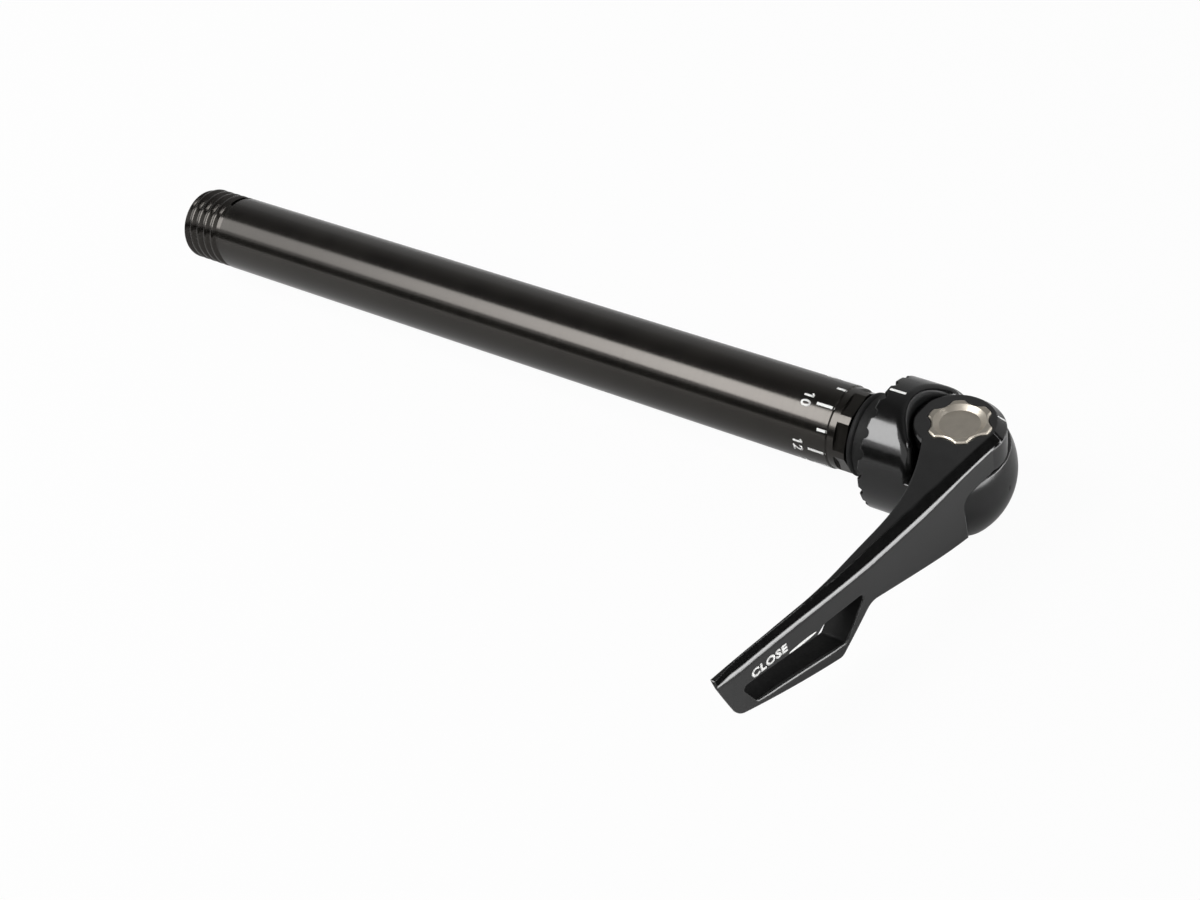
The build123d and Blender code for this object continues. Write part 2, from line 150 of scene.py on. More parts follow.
# %% White room
def white_to_the_eye(tree, lit, white, seen, mirrored):
    """Mix white into a lit shader: one share for the camera's rays, one for mirrored rays."""
    path = add_node(tree, "ShaderNodeLightPath").outputs
    either = {0: path["Is Glossy Ray"], 1: path["Is Transmission Ray"]}
    bounced = add_node(tree, "ShaderNodeMath", either, operation="MAXIMUM").outputs[0]
    bounced_share = {0: bounced, 1: mirrored}
    mirror = add_node(tree, "ShaderNodeMath", bounced_share, operation="MULTIPLY").outputs[0]
    seen_share = {0: path["Is Camera Ray"], 1: seen}
    eye = add_node(tree, "ShaderNodeMath", seen_share, operation="MULTIPLY").outputs[0]
    share = add_node(tree, "ShaderNodeMath", {0: eye, 1: mirror}, operation="MAXIMUM").outputs[0]
    mix = {0: share, 1: lit.outputs[0], 2: white.outputs[0]}
    return add_node(tree, "ShaderNodeMixShader", mix).outputs[0]


paper_white = linear("#ffffff")
room = bpy.data.worlds.new("studio_room")
room.use_nodes = True
room_tree = room.node_tree
room_tree.nodes.clear()
room_fill = add_node(room_tree, "ShaderNodeBackground", {"Color": paper_white, "Strength": 0.55})
room_white = add_node(room_tree, "ShaderNodeBackground", {"Color": paper_white, "Strength": 1.0})
room_mix = white_to_the_eye(room_tree, room_fill, room_white, seen=1.0, mirrored=1.0)
add_node(room_tree, "ShaderNodeOutputWorld", {"Surface": room_mix})
scene.world = room
print("room:", room.name)

# %% [markdown]
# The floor is one large sheet of the same paper, level with the part's lowest point. It could be
# all white, but then the part would float. A small share stays real, lit paper, which holds the
# shadow, and mirrors see mostly that share, so the black metal keeps a dimmer ground below it.


# %% Paper floor
def flat_sheet(name, place, turn, size):
    """A rectangle of a width and a length, in metres, with its place in its mesh."""
    bpy.ops.object.select_all(action="DESELECT")
    bpy.ops.mesh.primitive_plane_add(size=1, location=place, rotation=turn)
    sheet = bpy.context.object
    sheet.name = name
    sheet.scale = (*size, 1)
    bpy.ops.object.transform_apply(location=True, rotation=True, scale=True)
    return sheet


def blank_finish(name):
    """A material with an empty tree, for surfaces of the studio."""
    finish = bpy.data.materials.new(name)
    finish.use_nodes = True
    finish.node_tree.nodes.clear()
    return finish, finish.node_tree


floor_size = 8.0
floor_height = cad_box[0][2]
floor = flat_sheet("paper_floor", (0, 0, floor_height), (0, 0, 0), (floor_size, floor_size))
paper, tree = blank_finish("matt_white_paper")
paper_lit = add_node(tree, "ShaderNodeBsdfDiffuse", {"Color": linear("#c6c6c6")})
paper_glow = add_node(tree, "ShaderNodeEmission", {"Color": paper_white, "Strength": 1.0})
paper_mix = white_to_the_eye(tree, paper_lit, paper_glow, seen=0.96, mirrored=0.15)
add_node(tree, "ShaderNodeOutputMaterial", {"Surface": paper_mix})
floor.data.materials.append(paper)
print("floor at", round(floor_height / MM, 2), "mm")

# %% [markdown]
# Glossy black shows little but reflections, so the studio is planned by what the metal should
# mirror. Area lamps alone would mirror as hard white rectangles. Panels of cloth can glow more at
# one end than at the other, so they make the soft bands, and the camera itself is blind to them.


# %% Panels of cloth
def studio_panel(name, place, turn, size, cloth):
    """A flat panel that only reflections show."""
    panel = flat_sheet(name, place, turn, size)
    panel.data.materials.append(cloth)
    panel.visible_camera = False


def glowing_cloth(name, axis, start, end, low, high):
    """Cloth whose glow runs from low to high between two places along an axis, in metres."""
    cloth, tree = blank_finish(name)
    place = add_node(tree, "ShaderNodeTexCoord").outputs["Object"]
    along = add_node(tree, "ShaderNodeSeparateXYZ", {0: place}).outputs[axis]
    rise = {"Value": along, "From Min": start, "From Max": end, "To Min": low, "To Max": high}
    level = add_node(tree, "ShaderNodeMapRange", rise).outputs["Result"]
    glow = add_node(tree, "ShaderNodeEmission", {"Color": paper_white, "Strength": level})
    add_node(tree, "ShaderNodeOutputMaterial", {"Surface": glow.outputs[0]})
    return cloth


def even_cloth(name, level):
    """Cloth with the same glow all over."""
    return glowing_cloth(name, "X", -1, 1, level, level)


# %% [markdown]
# A softbox in front and above lays the bright stripe along the tube, brighter towards the head.
# Dark cards over the top and in front leave the dark bands beside the stripe, and a grey card at
# the back tones the tube's upper edge. On a round tube the place of a reflection depends on its
# angle about the axle, so each panel is placed by that angle.


# %% Cards and softbox along the tube
def facing_axle(angle, distance, along):
    """Place and turn of a flat thing that faces the axle, in degrees from the top to the front."""
    turn = radians(angle)
    place = (along, -distance * sin(turn), distance * cos(turn))
    return place, (turn, 0, 0)


def width_over(half_angle, distance):
    """Width of a panel that spans twice an angle, in degrees, as seen from the axle."""
    return 2 * distance * tan(radians(half_angle))


card_distance, card_length = 0.75, 4.0
dark_flock = glowing_cloth("dark_flock_lit_from_behind", "Y", 0.15, 0.70, 0.09, 0.37)
grey_cloth = glowing_cloth("grey_cloth", "Z", 0.0, 0.5, 0.52, 0.46)
black_flock = even_cloth("black_flock", 0.02)
for name, middle, half_angle, cloth in (
    ("top_card", -18, 32, dark_flock),
    ("back_card", -70.2, 20.2, grey_cloth),
    ("front_card", 73.5, 10, black_flock),
):
    card_size = (card_length, width_over(half_angle, card_distance))
    studio_panel(name, *facing_axle(middle, card_distance, 0), card_size, cloth)

softbox_angle, softbox_half_angle = 36.1, 18
softbox_distance, softbox_along, softbox_length = 0.62, -0.475, 0.75
softbox_size = (softbox_length, width_over(softbox_half_angle, softbox_distance))
softbox_cloth = glowing_cloth("softbox_cloth", "X", -0.60, -0.29, 3.2, 10.2)
softbox_stand = facing_axle(softbox_angle, softbox_distance, softbox_along)
studio_panel("softbox", *softbox_stand, softbox_size, softbox_cloth)
print("softbox, mm:", [round(side / MM) for side in softbox_size], "and three cards")

# %% [markdown]
# The lever faces another way, so its lights stand to the right of the head, all on one azimuth.
# The rounded foot of its bevel mirrors what lies low on that side. A lamp can't stand so low,
# because the table is in the way, so a silver reflector on the table starts the bright line.

# %% Reflector on the table
pin_x = 101.0
head_centre = Vector((pin_x, 0, 0)) * MM
right_side = 24

sheet_turn = radians(right_side)
sheet_size = (0.60, 0.42)
sheet_near = 0.09
sheet_lift = 0.5
sheet_reach = sheet_near + sheet_size[0] / 2
sheet_place = (
    head_centre.x + sheet_reach * cos(sheet_turn),
    sheet_reach * sin(sheet_turn),
    floor_height + sheet_lift * MM,
)
silver = even_cloth("silver_reflector", 7.6)
studio_panel("table_reflector", sheet_place, (0, 0, sheet_turn), sheet_size, silver)
print("reflector from", round(sheet_near / MM), "mm beyond the shaft")

# %% [markdown]
# A low strip lamp behind the reflector carries the bright line on, up the bevel's foot. A second
# lamp, higher up, gives the crescent on the rounded edge beside the lever's ear. Between the two
# hangs a black flag, which keeps the flat of the bevel dark beside its bright line.


# %% Flag and lamps at the head
def from_head(azimuth, elevation, distance):
    """Place and turn of a thing that faces the head, azimuth from +X towards +Y, in degrees."""
    turn, rise = radians(azimuth), radians(elevation)
    towards = Vector((cos(rise) * cos(turn), cos(rise) * sin(turn), sin(rise)))
    return head_centre + towards * distance, towards.to_track_quat("Z", "Y").to_euler()


flag_elevation, flag_distance, flag_size = 27, 0.8, (0.8, 0.25)
black_flag = even_cloth("black_flag", 0.02)
flag_stand = from_head(right_side, flag_elevation, flag_distance)
studio_panel("right_flag", *flag_stand, flag_size, black_flag)

lamp_distance = 1.0
for name, elevation, size, energy in (
    ("bevel_strip", 8, (0.75, 0.27), 5.4),
    ("crescent_lamp", 47, (0.42, 0.28), 2.6),
):
    lamp_data = bpy.data.lights.new(name, "AREA")
    lamp_data.shape = "RECTANGLE"
    lamp_data.size, lamp_data.size_y = size
    lamp_data.energy = energy
    lamp = bpy.data.objects.new(name, lamp_data)
    lamp.location, lamp.rotation_euler = from_head(right_side, elevation, lamp_distance)
    scene.collection.objects.link(lamp)
print("at the head: a flag and two lamps, at azimuth", right_side)

# %% [markdown]
# Every finish below starts from the real surface. Patterns read Object coordinates, which are
# metres in the part's own frame, so a pattern's size can be given in millimetres and stays the
# same on every piece. A soft noise serves for all of them, drawn out or fine as the finish needs.


# %% Finishes and their patterns
def new_finish(name):
    """A material with its tree and its main shader."""
    finish = bpy.data.materials.new(name)
    finish.use_nodes = True
    return finish, finish.node_tree, finish.node_tree.nodes["Principled BSDF"]


def mottle(tree, size, stretch=(1, 1, 1), detail=2.0):
    """Soft random spots, size in millimetres, drawn out along the axes by stretch."""
    place = add_node(tree, "ShaderNodeTexCoord").outputs["Object"]
    spread = [1 / (size * MM * factor) for factor in stretch]
    scaled = add_node(tree, "ShaderNodeMapping", {"Vector": place, "Scale": spread}).outputs[0]
    noise = {"Vector": scaled, "Scale": 1.0, "Detail": detail}
    return add_node(tree, "ShaderNodeTexNoise", noise).outputs["Fac"]


def between(tree, factor, low, high):
    """A value that runs from low to high as the mottle runs over its usual range."""
    limits = {"Value": factor, "From Min": 0.3, "From Max": 0.7, "To Min": low, "To Max": high}
    return add_node(tree, "ShaderNodeMapRange", limits).outputs["Result"]


# %% [markdown]
# A pattern acts on a surface in two ways. It shifts the base colour between two close tones, and
# it raises a relief. Under the relief a Bevel node rounds what the eye sees of each edge, because
# no machined edge is truly sharp and the fine bright line there tells the eye so.


# %% Tones, edges and relief
def two_tone(tree, shader, factor, dark, light):
    """A base colour that wanders between two tones with the mottle."""
    tones = {0: between(tree, factor, 0.0, 1.0), 6: linear(dark), 7: linear(light)}
    shade = add_node(tree, "ShaderNodeMix", tones, data_type="RGBA")
    tree.links.new(shade.outputs[2], shader.inputs["Base Color"])


def surface(tree, shader, edge_round, height, depth, strength):
    """Rounded edges, edge_round in millimetres, with a relief of the given depth on top."""
    edges = add_node(tree, "ShaderNodeBevel", {"Radius": edge_round * MM}, samples=6).outputs[0]
    raised = {"Height": height, "Distance": depth * MM, "Strength": strength, "Normal": edges}
    relief = add_node(tree, "ShaderNodeBump", raised)
    tree.links.new(relief.outputs[0], shader.inputs["Normal"])


# %% [markdown]
# The tube and the collar are turned aluminium, then dyed black in the anodising bath. The eye
# gets a warm black with a soft gloss, and very fine rings round the axle where the tool passed.
# The rings are a mottle drawn out round the tube rather than modelled grooves, which would need
# millions of faces. They are drawn at 0.35 mm, several times coarser than real ones, so that they
# can show at all.

# %% Black anodised aluminium
anodised, tree, shader = new_finish("black_anodised_turned_aluminium")
rings = mottle(tree, size=0.35, stretch=(1, 40, 40), detail=3.0)
cloud = mottle(tree, size=6.0)
two_tone(tree, shader, cloud, "#0f0e0d", "#171614")
tree.links.new(between(tree, rings, 0.13, 0.19), shader.inputs["Roughness"])
shader.inputs["IOR"].default_value = 1.52
shader.inputs["Specular Tint"].default_value = linear("#fff8f0")
surface(tree, shader, edge_round=0.12, height=rings, depth=0.01, strength=0.12)
print("finish:", anodised.name)

# %% [markdown]
# The housing and the lever are forged, polished and then anodised, so they mirror the studio more
# sharply than the tube. The lever is rubbed all over by hands and buffed last, so it is the
# glossier of the two and its edges are rounder. Close to, the gloss has a faint unevenness left
# by the polishing mop. No mop reaches into the lever's window, so its walls keep the dull black
# of the etch before anodising. One function makes all three, since only their polish differs.


# %% Polished black anodising
def polished_black(name, edge_round, smooth, hazy, ior):
    """Neutral black with a gloss between two roughness values, and a soft unevenness."""
    finish, tree, shader = new_finish(name)
    mop = mottle(tree, size=1.6)
    haze = mottle(tree, size=0.5, detail=4.0)
    two_tone(tree, shader, mop, "#0b0b0b", "#111111")
    tree.links.new(between(tree, haze, smooth, hazy), shader.inputs["Roughness"])
    shader.inputs["IOR"].default_value = ior
    surface(tree, shader, edge_round, height=mop, depth=0.004, strength=0.10)
    return finish


housing_gloss = polished_black(
    "polished_black_anodising", edge_round=0.2, smooth=0.13, hazy=0.18, ior=1.54
)
lever_gloss = polished_black(
    "buffed_black_anodising", edge_round=0.35, smooth=0.06, hazy=0.11, ior=1.66
)
window_dull = polished_black(
    "etched_black_anodising", edge_round=0.1, smooth=0.5, hazy=0.65, ior=1.25
)
print("finishes:", housing_gloss.name, lever_gloss.name, window_dull.name)

# %% [markdown]
# The step in the housing beside the lever's ear is milled after the polishing, so its wall is
# duller. A second material on those faces would cut the finish off at a triangle's edge, so the
# same finish is masked by place. The wall lies within a circle about the cross shaft, on the
# shaft's tube side. A Mapping moves the centre to the shaft and drops the height, and the length
# of what is left is the distance from the shaft.

# %% Mask of the milled step
step_r, step_blend = 8.75, 0.3
tube_side_x = -3
tree = housing_gloss.node_tree
place = add_node(tree, "ShaderNodeTexCoord").outputs["Object"]
shaft = {"Vector": place, "Location": (-pin_x * MM, 0, 0), "Scale": (1, 1, 0)}
from_shaft = add_node(tree, "ShaderNodeMapping", shaft).outputs[0]
reach = add_node(
    tree, "ShaderNodeVectorMath", {0: from_shaft}, operation="LENGTH"
).outputs["Value"]
circle = {"From Min": (step_r - step_blend) * MM, "From Max": step_r * MM, "To Min": 1, "To Max": 0}
in_circle = add_node(tree, "ShaderNodeMapRange", {"Value": reach, **circle}).outputs["Result"]
offset_x = add_node(tree, "ShaderNodeSeparateXYZ", {0: from_shaft}).outputs["X"]
tube_side = add_node(
    tree, "ShaderNodeMath", {0: offset_x, 1: tube_side_x * MM}, operation="LESS_THAN"
).outputs[0]
milled = add_node(
    tree, "ShaderNodeMath", {0: in_circle, 1: tube_side}, operation="MULTIPLY"
).outputs[0]
print("milled step within", step_r, "mm of the shaft")

# %% [markdown]
# Under the mask the surface is rougher, and it mirrors less. The polish that was there already
# goes on as the other side of the mix.

# %% Dull finish on the milled step
milled_roughness, milled_mirror = 0.55, 0.12
shader = tree.nodes["Principled BSDF"]
polish = shader.inputs["Roughness"].links[0].from_socket
plain_mirror = shader.inputs["Specular IOR Level"].default_value
for socket, polished_value, milled_value in (
    ("Roughness", polish, milled_roughness),
    ("Specular IOR Level", plain_mirror, milled_mirror),
):
    levels = {0: milled, 2: polished_value, 3: milled_value}
    level = add_node(tree, "ShaderNodeMix", levels, data_type="FLOAT")
    tree.links.new(level.outputs[0], shader.inputs[socket])
print("milled step on", housing_gloss.name)

# %% [markdown]
# The six-lobed end of the cross shaft is stainless steel, tumbled in stones to a satin. It is a
# warm grey, and its grain scatters the room softly, so its rims are never hard white. The dents
# of the stones are drawn at 0.22 mm, a few times coarser than real ones, so that they show.

# %% Tumbled stainless steel
tumbled_steel, tree, shader = new_finish("tumbled_stainless_steel")
grain = mottle(tree, size=0.22, detail=4.0)
stain = mottle(tree, size=1.8)
two_tone(tree, shader, stain, "#bcb5a9", "#c6bfb3")
shader.inputs["Metallic"].default_value = 1.0
tree.links.new(between(tree, grain, 0.34, 0.46), shader.inputs["Roughness"])
surface(tree, shader, edge_round=0.2, height=grain, depth=0.012, strength=0.35)
print("finish:", tumbled_steel.name)

# %% [markdown]
# The two seals are nitrile rubber, moulded in a blasted tool. They look matt black, with a faint
# grain that breaks up what little they mirror. The grain is drawn at 0.15 mm, about three times
# coarser than a real one, so that it shows.

# %% Black rubber
rubber, tree, shader = new_finish("black_nitrile_rubber")
skin = mottle(tree, size=0.15, detail=3.0)
two_tone(tree, shader, skin, "#090909", "#0d0d0d")
shader.inputs["IOR"].default_value = 1.36
tree.links.new(between(tree, skin, 0.55, 0.75), shader.inputs["Roughness"])
surface(tree, shader, edge_round=0.05, height=skin, depth=0.01, strength=0.3)
print("finish:", rubber.name)

# %% [markdown]
# The bolt, the washers and the ring are steel, plated with bright zinc in a bath. The plate is a
# cool grey and a little cloudy, and where the cloud is lighter it is also less sharp.

# %% Bright zinc plate
zinc, tree, shader = new_finish("bright_zinc_plate")
bloom = mottle(tree, size=1.2, detail=3.0)
two_tone(tree, shader, bloom, "#a9aaa8", "#bcbdba")
shader.inputs["Metallic"].default_value = 1.0
tree.links.new(between(tree, bloom, 0.24, 0.36), shader.inputs["Roughness"])
surface(tree, shader, edge_round=0.1, height=bloom, depth=0.004, strength=0.2)
print("finish:", zinc.name)

# %% [markdown]
# The bushes are bronze powder, pressed and sintered. The pores that hold their oil look like dark,
# dull specks. They are drawn at 0.18 mm, a few times coarser than real ones, so that they show.

# %% Sintered bronze
bronze, tree, shader = new_finish("sintered_bronze")
pores = mottle(tree, size=0.18)
two_tone(tree, shader, pores, "#7d5f38", "#a07c4b")
shader.inputs["Metallic"].default_value = 1.0
tree.links.new(between(tree, pores, 0.5, 0.34), shader.inputs["Roughness"])
surface(tree, shader, edge_round=0.1, height=pores, depth=0.015, strength=0.4)
print("finish:", bronze.name)

# %% [markdown]
# The marks are pad printed: a silicone pad picks the ink up from an engraved plate and rolls it
# on to the curved metal. The film is a few hundredths of a millimetre of white, satin and very
# slightly uneven.

# %% White pad-printing ink
ink, tree, shader = new_finish("white_pad_printing_ink")
film = mottle(tree, size=0.3, detail=3.0)
two_tone(tree, shader, film, "#ececea", "#f6f6f4")
tree.links.new(between(tree, film, 0.4, 0.55), shader.inputs["Roughness"])
shader.inputs["IOR"].default_value = 1.5
print("finish:", ink.name)

# %% [markdown]
# The solids whose shape needs no more work keep their meshes and only take a finish. Modelling
# them again would add nothing that the eye could find.

# %% Finishes on the solids
dressed_solids = {
    "index_spindle": anodised,
    "collar_seal": rubber,
    "mouth_seal": rubber,
    "cam_housing": housing_gloss,
    "cam_shaft": tumbled_steel,
    "clamp_bolt": zinc,
    "bolt_washer": zinc,
    "shaft_washer": zinc,
    "retaining_ring": zinc,
    "upper_bush": bronze,
    "lower_bush": bronze,
}
for name, finish in dressed_solids.items():
    nodes[name].data.materials.clear()
    nodes[name].data.materials.append(finish)
print("dressed solids:", len(dressed_solids), "of", len(nodes))

# %% [markdown]
# The tube is a lathe job. A circle stands at one end, and each step of the profile extrudes its
# edge along the axle and scales it to the next radius, the way a turner follows a drawing from
# shoulder to shoulder. The last ring is bridged to the first, which closes the shell. A spun
# outline would give the same form, but with the steps in a list each diameter can be read and
# changed.


# %% Lathe helper
smooth_below = radians(28)


def turned(name, profile, steps=160):
    """A closed shell round the axle, through (distance along it, radius) rings in millimetres."""
    bpy.ops.object.select_all(action="DESELECT")
    start_x, start_r = profile[0]
    bpy.ops.mesh.primitive_circle_add(
        vertices=steps, radius=start_r * MM, location=(start_x * MM, 0, 0), rotation=(0, pi / 2, 0)
    )
    piece = bpy.context.object
    piece.name = name
    bpy.ops.object.transform_apply(location=True, rotation=True, scale=True)
    bpy.ops.object.mode_set(mode="EDIT")
    bpy.ops.mesh.select_all(action="SELECT")
    for (x, r), (next_x, next_r) in zip(profile, profile[1:]):
        along = ((next_x - x) * MM, 0, 0)
        bpy.ops.mesh.extrude_edges_move(TRANSFORM_OT_translate={"value": along})
        scale = next_r / r
        bpy.ops.transform.resize(value=(1, scale, scale), center_override=(next_x * MM, 0, 0))
    bpy.ops.mesh.select_all(action="DESELECT")
    bpy.ops.mesh.select_mode(type="EDGE")
    bpy.ops.mesh.select_non_manifold()
    bpy.ops.mesh.bridge_edge_loops()
    bpy.ops.mesh.select_all(action="SELECT")
    bpy.ops.mesh.normals_make_consistent(inside=False)
    bpy.ops.object.mode_set(mode="OBJECT")
    bpy.ops.object.shade_smooth_by_angle(angle=smooth_below)
    return piece


def dress(piece, finish, body):
    """Give a new piece its finish and the body that carries it."""
    piece.data.materials.clear()
    piece.data.materials.append(finish)
    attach(piece, body)


# %% [markdown]
# The profile runs along the outside from the threaded end to the head, and back through the
# bores. The outer edges are broken by small chamfers. The threaded end is turned down to the
# thread's root, with a relief groove where the thread runs out.

# %% Axle tube
tube_low, tube_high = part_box("axle_tube")
tube_end = tube_low.x / MM
seat = tube_high.x / MM
tube_r = tube_high.z / MM
nose_r, nose_length = 6.5, 0.35
thread_root_r = 6.85
thread_run = 10.0
relief_r, relief_width, relief_corner = 6.8, 0.5, 0.1
relief_end = tube_end + thread_run + relief_width
key_bore_r = 5.25
pocket_x, pocket_r = 38.85, 4.85
bulkhead_x, bolt_hole_r = 47.85, 3.15
shank_x, shank_bore_r = 53.85, 5.5
edge_break = 0.2
axle_tube = turned(
    "axle_tube_turned",
    (
        (tube_end, nose_r),
        (tube_end + nose_length, thread_root_r),
        (tube_end + thread_run - edge_break, thread_root_r),
        (tube_end + thread_run, relief_r),
        (relief_end - relief_corner, relief_r),
        (relief_end, relief_r + relief_corner),
        (relief_end, tube_r - edge_break),
        (relief_end + edge_break, tube_r),
        (seat - edge_break, tube_r),
        (seat, tube_r - edge_break),
        (seat, shank_bore_r),
        (shank_x, shank_bore_r),
        (shank_x, bolt_hole_r),
        (bulkhead_x, bolt_hole_r),
        (bulkhead_x, pocket_r),
        (pocket_x, pocket_r),
        (pocket_x, key_bore_r),
        (tube_end, key_bore_r),
    ),
)
dress(axle_tube, anodised, "axle")
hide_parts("axle_tube")
print("axle tube:", len(axle_tube.data.polygons), "faces")

# %% [markdown]
# The thread is one ridge wound round the tube. A row of rings would be quicker, but from close by
# the turns would not climb. So its section comes first: a quadrilateral, wide at the root, which
# is sunk a little into the tube, and narrow at the crest, whose corners are rounded.

# %% Section of the thread
thread_pitch = 2.0
root_width, crest_width = 1.7, 0.62
root_sink = 0.08
crest_round, crest_segments = 0.26, 4
sunk_r = thread_root_r - root_sink
first_x = tube_end - thread_pitch
thread = flat_sheet("axle_thread", (0, 0, 0), (pi / 2, 0, 0), (1, 1))
for corner in thread.data.vertices:
    crest = corner.co.z > 0
    half_width = (crest_width if crest else root_width) / 2
    corner_x = first_x + (half_width if corner.co.x > 0 else -half_width)
    corner.co = Vector((corner_x, 0, tube_r if crest else sunk_r)) * MM
bpy.ops.object.mode_set(mode="EDIT")
bpy.ops.mesh.select_all(action="SELECT")
bpy.ops.mesh.delete(type="ONLY_FACE")
bpy.ops.object.mode_set(mode="OBJECT")
for corner in thread.data.vertices:
    corner.select = corner.co.z > thread_root_r * MM
bpy.ops.object.mode_set(mode="EDIT")
bpy.ops.mesh.bevel(offset=crest_round * MM, segments=crest_segments, affect="VERTICES")
bpy.ops.object.mode_set(mode="OBJECT")
print("thread section:", len(thread.data.vertices), "corners")

# %% [markdown]
# A Screw modifier carries the section round the axle while it moves along by the pitch. It starts
# a turn early and ends late, and two flat cuts trim the run-outs square to the tube.

# %% Winding of the thread
turns = int(thread_run / thread_pitch) + 1
steps_per_turn = 120
start_gap, end_gap = 0.5, 0.35
winding = thread.modifiers.new("winding", "SCREW")
winding.axis = "X"
winding.screw_offset = thread_pitch * MM
winding.iterations = turns
winding.steps = winding.render_steps = steps_per_turn
winding.use_merge_vertices = False
bpy.ops.object.modifier_apply(modifier=winding.name)
bpy.ops.object.mode_set(mode="EDIT")
for cut_x, side in ((tube_end + start_gap, 1), (tube_end + thread_run - end_gap, -1)):
    bpy.ops.mesh.select_all(action="SELECT")
    bpy.ops.mesh.bisect(
        plane_co=(cut_x * MM, 0, 0),
        plane_no=(side, 0, 0),
        use_fill=True,
        clear_inner=True,
        threshold=1e-7,
    )
bpy.ops.mesh.select_all(action="SELECT")
bpy.ops.mesh.normals_make_consistent(inside=False)
bpy.ops.object.mode_set(mode="OBJECT")
bpy.ops.object.shade_smooth_by_angle(angle=smooth_below)
dress(thread, anodised, "axle")
print("thread:", len(thread.data.polygons), "faces, turns:", turns)

# %% [markdown]
# The lever is a forging whose shape comes from the solid. Its edges are buffed rounder than the
# solid has them, so it is worked on as a copy. The solid's mesh is loose triangles, so the copy's
# corners are welded first, and then neighbouring faces move together.

# %% Welded copy of the lever
weld_distance = 0.002
solid = nodes["lever"].data
bpy.ops.object.select_all(action="DESELECT")
lever = nodes["lever"].copy()
lever.data = solid.copy()
lever.name = "lever_buffed"
lever.parent = None
scene.collection.objects.link(lever)
bpy.context.view_layer.objects.active = lever
lever.select_set(True)
bpy.ops.object.mode_set(mode="EDIT")
bpy.ops.mesh.select_all(action="SELECT")
bpy.ops.mesh.remove_doubles(threshold=weld_distance * MM)
bpy.ops.object.mode_set(mode="OBJECT")
bpy.ops.object.shade_smooth()
print("lever: corners", len(solid.vertices), "welded to", len(lever.data.vertices))

# %% [markdown]
# Welding loses the solid's exact shading, and smoothing by angle leaves facets on long, thin
# triangles. So each face of the copy looks up its twin on the solid, the face with the nearest
# centre, and takes over the normals of its corners. They are set once the points have moved.


# %% Shading of the solid
def nearest_corner(mesh, face, point):
    """The corner of a face, as an index, that lies nearest to a point."""

    def gap(corner):
        return (mesh.vertices[mesh.loops[corner].vertex_index].co - point).length

    return min(face.loop_indices, key=gap)


centres = KDTree(len(solid.polygons))
for face in solid.polygons:
    centres.insert(face.center, face.index)
centres.balance()
shading = [None] * len(lever.data.loops)
for face in lever.data.polygons:
    twin = solid.polygons[centres.find(face.center)[1]]
    for index in face.loop_indices:
        point = lever.data.vertices[lever.data.loops[index].vertex_index].co
        shading[index] = solid.corner_normals[nearest_corner(solid, twin, point)].vector.copy()
print("lever: normals carried over:", len(shading))

# %% [markdown]
# Buffing takes most off the long bevel over the broad face. Both of its edges step back, which
# widens it at the same slope, and the rounding at its foot grows. The Bevel operator leaves
# spikes on such thin triangles, so the points are moved instead. A fillet that grows moves each
# of its points out along its own normal, and back along the normal halfway between the two faces
# that it joins.


# %% Wider bevel on the lever
def ramp(distance, length):
    """A share that grows from 0 to 1 over a length, and stays there."""
    return min(1, max(0, distance / length))


more_radius, more_width = 1.15, 0.5
face_tilt, bevel_tilt = radians(4), radians(44.5)
mid_tilt = (face_tilt + bevel_tilt) / 2
half_tilt = (bevel_tilt - face_tilt) / 2
upward = Vector((0, 0, 1))
top_at_shaft, top_fall, top_band = 9.26, 0.0186, 0.15
foot_at_shaft, foot_fall, foot_band = 7.66, 0.0053, 0.55
bevel_start, bevel_run_in = 10, 10
bevel_end, bevel_run_out = 67, 5
outer_side, broad_face = 0.15, 0.55
moves = {}
for corner in lever.data.vertices:
    along, height = -corner.co.y / MM, corner.co.z / MM
    normal = corner.normal
    if along < bevel_start or normal.x < outer_side:
        continue
    level = Vector((normal.x, normal.y, 0)).normalized()
    share = ramp(along - bevel_start, bevel_run_in) * ramp(bevel_end - along, bevel_run_out)
    from_top = height - (top_at_shaft - top_fall * along)
    from_foot = height - (foot_at_shaft - foot_fall * along)
    if abs(from_foot) < foot_band and normal.x > broad_face:
        tilt = min(max(asin(normal.z), face_tilt), bevel_tilt)
        own = level * cos(tilt) + upward * sin(tilt)
        middle = level * cos(mid_tilt) + upward * sin(mid_tilt)
        grown = (own - middle / cos(half_tilt)) * more_radius
        down_face = (level * sin(face_tilt) - upward * cos(face_tilt)) * more_width
        moves[corner.index] = (grown + down_face) * share * MM
    elif abs(from_top) < top_band:
        moves[corner.index] = -level * more_width * share * MM
print("lever: points to move along the bevel:", len(moves))

# %% [markdown]
# The lower lip of the window faces the mop too, so its fillet grows in the same way. Its points
# are those of the faces that lean between the broad face and the window's wall. They could be
# picked by a list of numbers, but that would break when the solid is meshed anew.

# %% Points of the window's lip
lip_from, lip_to, lip_margin = 42, 60, 0.5
lip_low, lip_high = -4.5, 0
lip_upturn, lip_lean = 0.15, (0.2, 0.96)
lip = set()
for face in lever.data.polygons:
    along, height = -face.center.y / MM, face.center.z / MM
    in_length = lip_from - lip_margin < along < lip_to + lip_margin
    leaning = face.normal.z > lip_upturn and lip_lean[0] < face.normal.x < lip_lean[1]
    if in_length and lip_low < height < lip_high and leaning:
        lip.update(face.vertices)
print("lever: points on the window's lip:", len(lip))

# %% [markdown]
# At each end of the lip the growth fades out. Then all the moves are made at once, the shading of
# the solid goes on, and the copy takes the solid's place.

